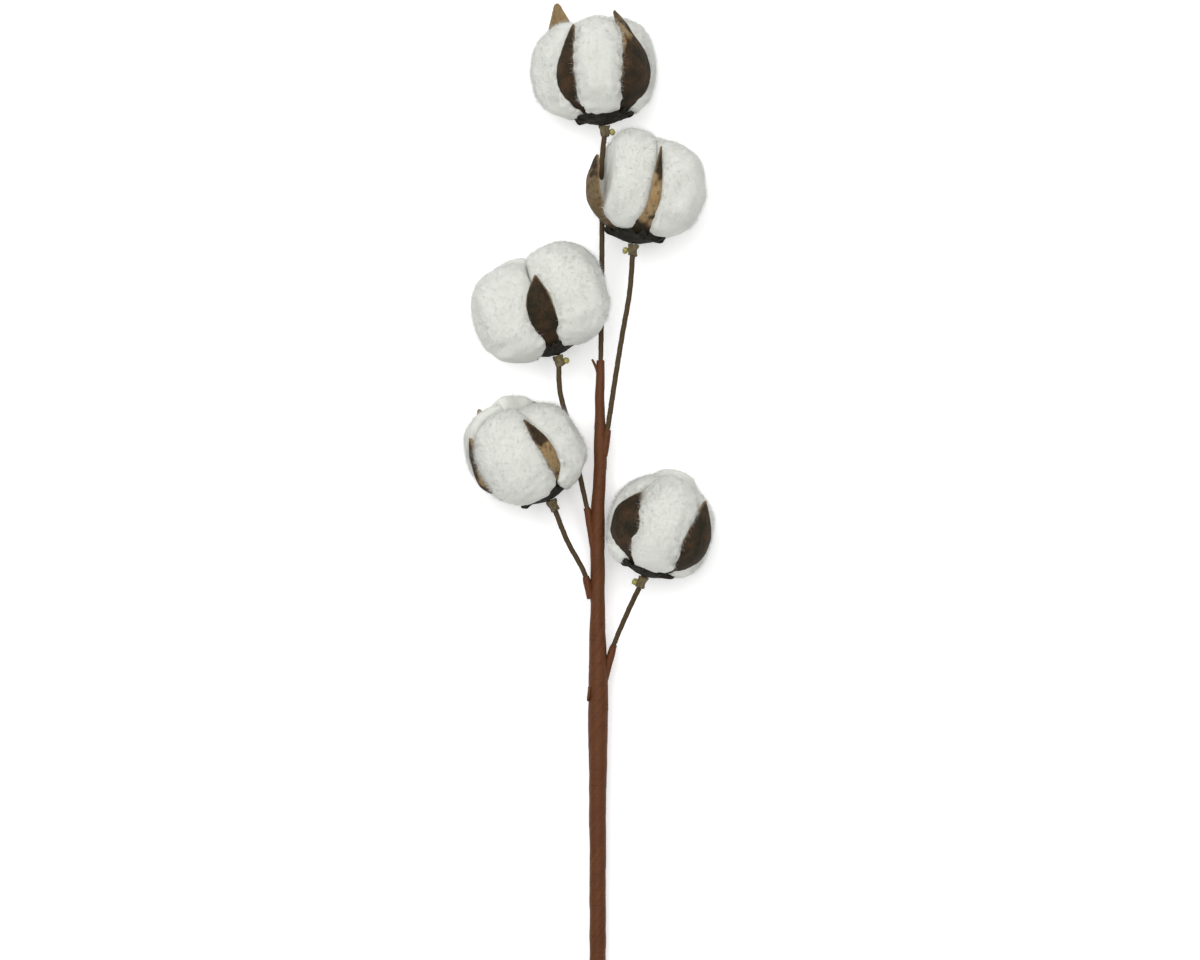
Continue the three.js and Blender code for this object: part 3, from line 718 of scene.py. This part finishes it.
calyx_skin = calyx_material()
for number in BOLLS:
    about = boll_frames[number]
    node = f"boll_{number}_calyx"
    mesh = finished(quads_of(node), ("SUBSURF", {"levels": CALYX_LEVELS, "render_levels": CALYX_LEVELS}))
    local = about.local(coordinates(mesh))
    angle, reach = around_axis(local)
    ring = np.stack([np.cos(angle), np.sin(angle), np.full_like(angle, number)], 1)
    tear = 1.1 * roughness_at(ring, 0.22, 31 + number) + 1.2 * roughness_at(ring, 0.08, 41 + number)
    lift = TEAR_HEIGHT * np.clip((reach - CALYX_FOOT) / CALYX_RIM, 0, 1) * tear
    local[:, [0, 2]] *= (1 + TEAR_SPREAD * lift / np.maximum(reach, 1 * MM))[:, None]
    local[:, 1] += lift
    set_coordinates(mesh, about.world(local))
    push_out(mesh, coordinates(mesh), CRUMBLE_HEIGHT * roughness_at(local, CRUMBLE_SIZE, 51 + number))
    store_vector(mesh, "grain", boll_grain(local, number))
    set_material(mesh, calyx_skin)
    shown_piece(f"boll_{number}_calyx_dish", mesh, node)

# ---- Burs ----------------------------
# The bur is the dry woody seed case. It has split into four pointed valves that bend outwards: dark,
# wrinkled and nearly black outside, tan and striped inside, with a pale broken edge.

BUR_LEVELS = 3
RIM_REACH = 0.8 * MM
CUP_DEPTH = 7 * MM  # the valves part above this
TIP_SPREAD = 1.2 * MM
TIP_LEVEL = 28 * MM
WITHERED_FROM = 33 * MM
WITHERED_OVER = 8 * MM
WRINKLE_HEIGHT = 0.42 * MM
CRUMPLE_HEIGHT = 0.55 * MM
FINE_HEIGHT = 0.12 * MM
NARROWING_FROM = 6 * MM
NARROWING_OVER = 7 * MM
VALVE_HALF = 40  # degrees each side of a valve's middle that narrowing reaches
LONG_TIP_HALF = 45
BROADENING = 3 * MM  # height over which a long tip spreads
# Where the dark outer skin has come away: azimuth and half width in degrees, the heights in millimetres
# that it is bare between, and how bare it is.
PEELED = {
    1: [(29, 15, 30, 43, 1), (25, 6, 27, 34, 0.9)],
    2: [(15, 24, 7, 27, 1), (-66, 30, 3, 26, 0.45)],
    4: [(22, 24, 5, 21, 1), (-57, 9, 8, 25, 0.8)],
}
# Front valves that have dried narrow: azimuth, and the share of their width that is left.
NARROW_VALVES = {1: (-43, 0.8), 2: (15, 0.66), 3: (0, 0.86), 4: (20, 0.72)}
# Back valves whose tips have dried out long and broad: azimuth, the height in millimetres that they
# grow from, and how many times longer and broader they are.
LONG_TIPS = {1: (-140, 37, 1.25, 2.3), 4: (-152, 38, 1.3, 1.5)}


def bur_material():
    """Dark wrinkled skin over straw-coloured wood, bare inside, on the flakes and along the rims."""
    material, tree, shader = new_material("dry bur", 0.7, 0.12)
    grain = grain_nodes(tree, 0.75, 0.16, 0.16)
    fine = grain_nodes(tree, 3.2, 0.5, 0.6)
    inside, rim, tip, peeled = [
        add_node(tree, "ShaderNodeAttribute", {"attribute_name": share}).outputs["Fac"]
        for share in ("inside", "rim", "tip", "peeled")]
    black = blend_colours(tree, fine.outputs["Streak"], (0.010, 0.010, 0.006), (0.028, 0.025, 0.014))
    brown = blend_colours(tree, fine.outputs["Streak"], (0.030, 0.016, 0.009), (0.084, 0.048, 0.023))
    outer = blend_colours(tree, grain.outputs["Blotch"], black, brown)
    straw = blend_colours(tree, fine.outputs["Streak"], (0.190, 0.120, 0.048), (0.470, 0.355, 0.200))
    inner = blend_colours(tree, grain.outputs["Blotch"], straw, (0.300, 0.195, 0.088))
    bark = blend_colours(tree, peeled, outer, inner)
    skin = blend_colours(tree, inside, bark, inner)
    frayed = worked_out(tree, "MULTIPLY", rim, fine.outputs["Streak"])
    edged = blend_colours(tree, frayed, skin, (0.300, 0.215, 0.120))
    dry = worked_out(tree, "MULTIPLY", tip, fine.outputs["Blotch"])
    colour = blend_colours(tree, dry, edged, (0.062, 0.052, 0.040))
    surface(tree, shader, colour, fine.outputs["Height"], 0.22 * MM)
    return material


def near_share(points, chosen, reach):
    """1 on the chosen points, falling to 0 over a reach."""
    tree = KDTree(int(chosen.sum()))
    for i in np.nonzero(chosen)[0]:
        tree.insert(points[i], int(i))
    tree.balance()
    distance = np.array([tree.find(point)[2] for point in points])
    return np.clip(1 - distance / reach, 0, 1)


def peeled_share(number, local):
    """1 where a valve's outer skin has come away in flakes."""
    angle = np.degrees(around_axis(local)[0]) + 9 * roughness_at(local, 2.6 * MM, 95 + number)
    flaked = local[:, 1] / MM + 5 * roughness_at(local, 3.2 * MM, 90 + number)
    share = np.zeros(len(local))
    for azimuth, width, low, high, bareness in PEELED.get(number, []):
        level = np.clip((flaked - low) / 2, 0, 1) * np.clip((high - flaked) / 2, 0, 1)
        beside = np.clip((width - np.abs(angle - azimuth)) / 3, 0, 1)
        share = np.maximum(share, bareness * level * beside)
    return share * np.clip(1.1 + 1.2 * roughness_at(local, 1.5 * MM, 99 + number), 0, 1)


def narrowed(number, local):
    """Draws a front valve's sides in towards its middle, above the cup."""
    if number not in NARROW_VALVES:
        return local
    azimuth, width = NARROW_VALVES[number]
    middle = math.radians(azimuth)
    angle, reach = around_axis(local)
    near = np.clip((VALVE_HALF - np.abs(np.degrees(angle - middle))) / 8, 0, 1)
    share = near * np.clip((local[:, 1] - NARROWING_FROM) / NARROWING_OVER, 0, 1) * (1 - width)
    return from_axis(middle + (angle - middle) * (1 - share), reach, local[:, 1])


def lengthened(number, local):
    """Draws a back valve's tip out along the boll's axis, and spreads it."""
    if number not in LONG_TIPS:
        return local
    azimuth, start, growth, breadth = LONG_TIPS[number]
    angle, reach = around_axis(local)
    beside = (np.degrees(angle) - azimuth + 180) % 360 - 180
    above = np.maximum(local[:, 1] - start * MM, 0) * (np.abs(beside) < LONG_TIP_HALF)
    spread = 1 + (breadth - 1) * np.clip(above / BROADENING, 0, 1)
    return from_axis(np.radians(azimuth + beside * spread), reach, local[:, 1] + above * (growth - 1))


def outward_share(mesh, about, local):
    """How squarely each point's skin faces out from the boll's axis, and the skin's own normals."""
    normals = outward_normals(mesh) @ about.turn.T
    reach = np.maximum(around_axis(local)[1], 0.1 * MM)
    return (normals[:, 0] * local[:, 0] + normals[:, 2] * local[:, 2]) / reach, normals


def sharp_tips(mesh, about):
    """Marks the tips of the valves, so that smoothing the skin doesn't draw them in."""
    heights = about.local(coordinates(mesh))[:, 1]
    highest = heights.copy()
    for edge in mesh.edges:
        first, second = edge.vertices
        highest[first] = max(highest[first], heights[second])
        highest[second] = max(highest[second], heights[first])
    tips = (highest - heights < TIP_SPREAD) & (heights > TIP_LEVEL)
    mesh.attributes.new("crease_vert", "FLOAT", "POINT").data.foreach_set("value", tips * 1.0)
    return mesh


husks = {}
bur_skin = bur_material()
for number in BOLLS:
    about = boll_frames[number]
    node = f"boll_{number}_bur"
    mesh = finished(sharp_tips(quads_of(node), about),
                    ("SUBSURF", {"levels": BUR_LEVELS, "render_levels": BUR_LEVELS}))
    local = lengthened(number, narrowed(number, about.local(coordinates(mesh))))
    points = about.world(local)
    set_coordinates(mesh, points)
    radial, normals = outward_share(mesh, about, local)
    facing = 0.9 * radial - 0.45 * normals[:, 1]
    grain = boll_grain(local, number)
    wrinkle = WRINKLE_HEIGHT * np.abs(roughness_at(grain * (1, 0.22, 1), 2.3, 61 + number))
    crumple = CRUMPLE_HEIGHT * roughness_at(grain, 8.0, 71 + number)
    fine = FINE_HEIGHT * roughness_at(grain * (1, 0.3, 1), 0.8, 81 + number)
    outer = np.clip(facing * 4, 0, 1)
    inner = np.clip(-facing * 4, 0, 1)
    push_out(mesh, points, crumple * (outer - inner) + wrinkle * outer + fine)
    store_vector(mesh, "grain", grain)
    store_share(mesh, "inside", np.clip(0.5 - facing * 3, 0, 1))
    edge = (np.abs(facing) < 0.35) & (local[:, 1] > CUP_DEPTH)
    store_share(mesh, "rim", near_share(points, edge, RIM_REACH))
    withered = np.clip((local[:, 1] - WITHERED_FROM) / WITHERED_OVER, 0, 1)
    store_share(mesh, "tip", withered * np.clip(facing * 3 + 0.7, 0.25, 1))
    store_share(mesh, "peeled", peeled_share(number, local))
    set_material(mesh, bur_skin)
    husks[number] = BVHTree.FromPolygons([vertex.co for vertex in mesh.vertices],
                                         [tuple(polygon.vertices) for polygon in mesh.polygons])
    shown_piece(f"boll_{number}_husk", mesh, node)

# ---- Lint ----------------------------
# Each boll holds four locks of lint: loose white cotton fibre that has swelled out between the valves
# and laps over their edges. The fibres lie matted, and a thin fuzz of them stands off the outside.

LOCKS = "abcd"
LINT_VOXEL = 1.05 * MM
LINT_ROUNDING = 24
LINT_SWELL = 0.38 * MM
PUFF_HEIGHT = 1.0 * MM
PUFF_SIZE = 9 * MM
TUFT_HEIGHT = 0.5 * MM
TUFT_SIZE = 4.2 * MM
FLOCK_HEIGHT = 0.15 * MM
FLOCK_SIZE = 1.7 * MM
LAP_SIZE = 2.6 * MM
FUZZ_DENSITY = 6600000  # fibres to a square metre
FUZZ_LENGTH = 2.2 * MM
FUZZ_RADIUS = 0.037 * MM
FUZZ_ROOT = 0.1  # share of a fibre's length that is sunk in the lint
FUZZ_LEAN = (0.3, 1.35)  # radians from standing straight out
FUZZ_SIZES = (0.45, 1.25)  # shares of the full length
FUZZ_SWAY = 2.2 * MM
EDGE_REACH = 3.5 * MM  # fuzz is thicker this near a valve
UNDER_HUSK = 5 * MM  # lint this near the inside of a valve grows no fuzz
SKIN_DEPTH = 1 * MM  # the search for a valve begins this far inside the lint
FLOOR_GAP = 0.02 * MM
WIRE_SINK = 1.6 * MM  # how far the cotton lies below the wire that presses on it
GROOVE_HALF = 1.5 * MM
GROOVE_SLOPE = 6
GROOVE_RISE = 2
GROOVE_LENGTH = 13 * MM  # from the top boll's stub down to where it begins to close
GROOVE_TAPER = 9 * MM
GROOVED_BOLL = 2
PRESSED_DEPTH = 0.4 * MM  # cotton this little below the groove's surface counts as pressed


def lint_material():
    """Off-white matted fibre that light sinks into."""
    material, tree, shader = new_material("cotton lint", 1.0, 0.1)
    place = add_node(tree, "ShaderNodeTexCoord")
    cloud = add_node(tree, "ShaderNodeTexNoise", Vector=place.outputs["Object"], Scale=130.0, Detail=4.0)
    bend = add_node(tree, "ShaderNodeTexNoise", Vector=place.outputs["Object"], Scale=220.0, Detail=2.0)
    curled = add_node(tree, "ShaderNodeVectorMath", {"operation": "SCALE"},
                      Vector=bend.outputs["Color"], Scale=0.012)
    along = add_node(tree, "ShaderNodeVectorMath", {"operation": "ADD"},
                     i0=place.outputs["Object"], i1=curled.outputs[0])
    drawn = add_node(tree, "ShaderNodeMapping", Vector=along.outputs[0], Rotation=(0.5, 0.3, 0.6),
                     Scale=(1.0, 0.22, 0.6))
    wisp = add_node(tree, "ShaderNodeTexNoise", Vector=drawn.outputs[0], Scale=1500.0, Detail=4.0,
                    Roughness=0.65)
    shade = blend_colours(tree, cloud.outputs["Fac"], (0.650, 0.658, 0.606), (0.708, 0.714, 0.674))
    matted = add_node(tree, "ShaderNodeMapRange", Value=wisp.outputs["Fac"], From_Min=0.25,
                      From_Max=0.55)
    colour = blend_colours(tree, matted.outputs[0], (0.590, 0.597, 0.552), shade)
    shader.inputs["Sheen Weight"].default_value = 0.1
    shader.inputs["Subsurface Weight"].default_value = 0.6
    shader.inputs["Subsurface Radius"].default_value = (1, 1, 1)
    shader.inputs["Subsurface Scale"].default_value = 1.4 * MM
    surface(tree, shader, colour, wisp.outputs["Fac"], 0.2 * MM)
    return material


def random_number(tree, low, high, seed):
    """A random number for each fibre, between two others."""
    return add_node(tree, "FunctionNodeRandomValue", {"data_type": "FLOAT"}, i2=low, i3=high,
                    Seed=seed).outputs[1]


def fuzz_tree():
    """Short pointed fibres set over a surface, denser where it lies open, joined to it as one mesh."""
    inputs = [("Density", "Float"), ("Length", "Float"), ("Radius", "Float"), ("Seed", "Int")]
    tree, start = new_tree("lint fuzz", inputs + [("Material", "Material")])
    density = worked_out(tree, "MULTIPLY", kept_number(tree, "open"), start.outputs["Density"])
    roots = add_node(tree, "GeometryNodeDistributePointsOnFaces", Mesh=start.outputs["Geometry"],
                     Density=density, Seed=start.outputs["Seed"])
    slimness = worked_out(tree, "DIVIDE", start.outputs["Radius"], start.outputs["Length"])
    fibre = add_node(tree, "GeometryNodeMeshCone", Vertices=3, Radius_Top=0.0, Radius_Bottom=slimness,
                     Depth=1.0)
    rooted = add_node(tree, "GeometryNodeTransform", Geometry=fibre.outputs[0],
                      Translation=(0, 0, -FUZZ_ROOT))
    spin = random_number(tree, 0.0, math.tau, start.outputs["Seed"])
    lean = random_number(tree, *FUZZ_LEAN, 7)
    about = add_node(tree, "ShaderNodeCombineXYZ", X=lean, Z=spin)
    turn = add_node(tree, "FunctionNodeEulerToRotation", Euler=about.outputs[0])
    turned = add_node(tree, "FunctionNodeRotateRotation", {"rotation_space": "LOCAL"},
                      Rotation=roots.outputs["Rotation"], Rotate_By=turn.outputs[0])
    size = random_number(tree, *FUZZ_SIZES, start.outputs["Seed"])
    longer = worked_out(tree, "MULTIPLY", size, kept_number(tree, "reach"))
    scale = worked_out(tree, "MULTIPLY", longer, start.outputs["Length"])
    set_out = add_node(tree, "GeometryNodeInstanceOnPoints", Points=roots.outputs["Points"],
                       Instance=rooted.outputs[0], Rotation=turned.outputs[0], Scale=scale)
    strands = add_node(tree, "GeometryNodeRealizeInstances", Geometry=set_out.outputs[0])
    where = add_node(tree, "GeometryNodeInputPosition")
    wave = add_node(tree, "ShaderNodeTexNoise", Vector=where.outputs[0], Scale=650.0, Detail=1.0)
    centred = add_node(tree, "ShaderNodeVectorMath", {"operation": "SUBTRACT"},
                       i0=wave.outputs["Color"], i1=(0.5, 0.5, 0.5))
    sway = add_node(tree, "ShaderNodeVectorMath", {"operation": "SCALE"},
                    Vector=centred.outputs[0], Scale=FUZZ_SWAY)
    waved = add_node(tree, "GeometryNodeSetPosition", Geometry=strands.outputs[0], Offset=sway.outputs[0])
    spun = add_node(tree, "GeometryNodeSetMaterial", Geometry=waved.outputs[0],
                    Material=start.outputs["Material"])
    both = tree.nodes.new("GeometryNodeJoinGeometry")
    tree.links.new(spun.outputs[0], both.inputs[0])
    tree.links.new(start.outputs["Geometry"], both.inputs[0])
    return end_tree(tree, start, both.outputs[0])


def on_the_floor(mesh):
    """Flattens a mesh where it would go through the surface that the spray lies on."""
    points = coordinates(mesh)
    points[:, 2] = np.maximum(points[:, 2], FLOOR_GAP)
    set_coordinates(mesh, points)


def under_husk(number, mesh):
    """Where a valve lies over the lint, and how near the lint is to a valve, from 0 to 1."""
    starts = [Vector(point) for point in coordinates(mesh)]
    ways = [Vector(normal) for normal in outward_normals(mesh)]
    hits = [husks[number].ray_cast(start - way * SKIN_DEPTH, way, UNDER_HUSK)[0]
            for start, way in zip(starts, ways)]
    gaps = [husks[number].find_nearest(start, EDGE_REACH)[3] for start in starts]
    near = np.array([0 if gap is None else 1 - gap / EDGE_REACH for gap in gaps])
    return np.array([hit is not None for hit in hits]), near


def groove_depth(points):
    """How far points stand above the groove that the top boll's wire presses into the cotton."""
    centres = wire_paths[1][0]
    middle = np.interp(points[:, 1], centres[:, 1], centres[:, 0])
    height = np.interp(points[:, 1], centres[:, 1], centres[:, 2])
    past = np.maximum(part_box("boll_1_pedicel")[0].y - GROOVE_LENGTH - points[:, 1], 0)
    half = GROOVE_HALF * np.clip(1 - past / GROOVE_TAPER, 0, 1)
    beside = np.maximum(np.abs(points[:, 0] - middle) - half, 0)
    closing = np.maximum(past - GROOVE_TAPER, 0) * GROOVE_RISE
    return points[:, 2] - (height - WIRE_SINK + beside * GROOVE_SLOPE + closing)


lint = lint_material()
fuzz = fuzz_tree()
for number in BOLLS:
    about = boll_frames[number]
    for order, letter in enumerate(LOCKS):
        node = f"boll_{number}_lock_{letter}"
        mesh = rounded(mesh_of(merged_copy(node), "lock"), LINT_VOXEL, 0.6, LINT_ROUNDING)
        points = coordinates(mesh)
        seed = 10 * number + order
        puff = PUFF_HEIGHT * roughness_at(points, PUFF_SIZE, seed)
        tuft = TUFT_HEIGHT * np.abs(roughness_at(points, TUFT_SIZE, seed + 0.3))
        flock = FLOCK_HEIGHT * roughness_at(points, FLOCK_SIZE, seed + 0.6)
        hidden, near = under_husk(number, mesh)
        lapping = near * (0.5 + 1.3 * roughness_at(points, LAP_SIZE, seed + 0.9)) * MM
        swell = puff + tuft + flock + LINT_SWELL + np.where(hidden, 0, lapping)
        points += outward_normals(mesh) * swell[:, None]
        if number == GROOVED_BOLL:
            points[:, 2] -= np.maximum(groove_depth(points), 0)
        set_coordinates(mesh, points)
        if number == GROOVED_BOLL:
            mesh = rounded(mesh, LINT_VOXEL, 0.5, 3)
        on_the_floor(mesh)
        points = coordinates(mesh)
        local = about.local(points)
        radial, normals = outward_share(mesh, about, local)
        hidden, near = under_husk(number, mesh)
        pressed = (groove_depth(points) > -PRESSED_DEPTH) & (number == GROOVED_BOLL)
        bare = (local[:, 1] < CUP_DEPTH) | pressed | hidden
        outside = np.clip(0.1 + radial + 0.4 * normals[:, 1], 0, 1)
        upper = np.clip(1 + normals[:, 2], 0.3, 1) - 0.7 * np.clip(normals[:, 2], 0, 1)
        store_share(mesh, "open", np.where(bare, 0, outside * upper * (0.6 + 1.9 * near)))
        store_share(mesh, "reach", 1 + 0.15 * near)
        mesh = grow(fuzz, mesh, "lint", Density=FUZZ_DENSITY, Length=FUZZ_LENGTH, Radius=FUZZ_RADIUS,
                    Seed=seed, Material=lint)
        on_the_floor(mesh)
        shown_piece(f"boll_{number}_lint_{letter}", mesh, node)

# ---- Setting ----------------------------
# The spray lies on a plain pale floor, a sheet of faintly lit white acrylic. Two soft lamps hang over
# it in a pale room, and it is seen from straight above.

FLOOR_HALF = 4
FLOOR_GLOW = 0.27
ROOM_GLOW = 0.33
VIEW_HEIGHT = 1.4
VIEW_LEVEL = 25 * MM  # the height on the bolls that the view's width is taken at
VIEW_WIDTH = 0.504
VIEW_SHAPE = 0.8  # the view's height to its width
VIEW_START = 100 * MM  # from the cut end to the view's lower edge
VIEW_ASIDE = 0.8 * MM

floor_mesh = bpy.data.meshes.new("floor")
corners = [(x * FLOOR_HALF, y * FLOOR_HALF, 0) for x, y in ((-1, -1), (1, -1), (1, 1), (-1, 1))]
floor_mesh.from_pydata(corners, [], [(0, 1, 2, 3)])
floor_paint, _, floor_shader = new_material("pale floor", 0.9, 0.1)
floor_shader.inputs["Base Color"].default_value = (0.93, 0.93, 0.93, 1)
floor_shader.inputs["Emission Color"].default_value = (1, 1, 1, 1)
floor_shader.inputs["Emission Strength"].default_value = FLOOR_GLOW
floor_mesh.materials.append(floor_paint)
new_object("floor", floor_mesh)

world = bpy.data.worlds.new("soft room")
world.use_nodes = True
world.node_tree.nodes["Background"].inputs["Color"].default_value = (1, 1, 1, 1)
world.node_tree.nodes["Background"].inputs["Strength"].default_value = ROOM_GLOW
bpy.context.scene.world = world


def soft_box(name, place, size, power):
    """A large square lamp that faces the spray's middle."""
    lamp = bpy.data.lights.new(name, "AREA")
    lamp.size = size
    lamp.energy = power
    holder = new_object(name, lamp)
    holder.location = place
    holder.rotation_euler = (-Vector(place)).to_track_quat("-Z", "Y").to_euler()


soft_box("key", (-0.3, 0.5, 2.25), 2.0, 55)
soft_box("fill", (0.9, 0.6, 2.0), 1.4, 4)

bpy.context.scene.view_settings.view_transform = "Standard"
lens = bpy.data.cameras.new("view")
lens.sensor_width = 36
lens.lens = lens.sensor_width * VIEW_HEIGHT / VIEW_WIDTH
camera = new_object("view", lens)
view_middle = stem_low.y + VIEW_START + VIEW_WIDTH * VIEW_SHAPE / 2
camera.location = (stem_centres[0, 0] + VIEW_ASIDE, view_middle, VIEW_HEIGHT + VIEW_LEVEL)
bpy.context.scene.camera = camera
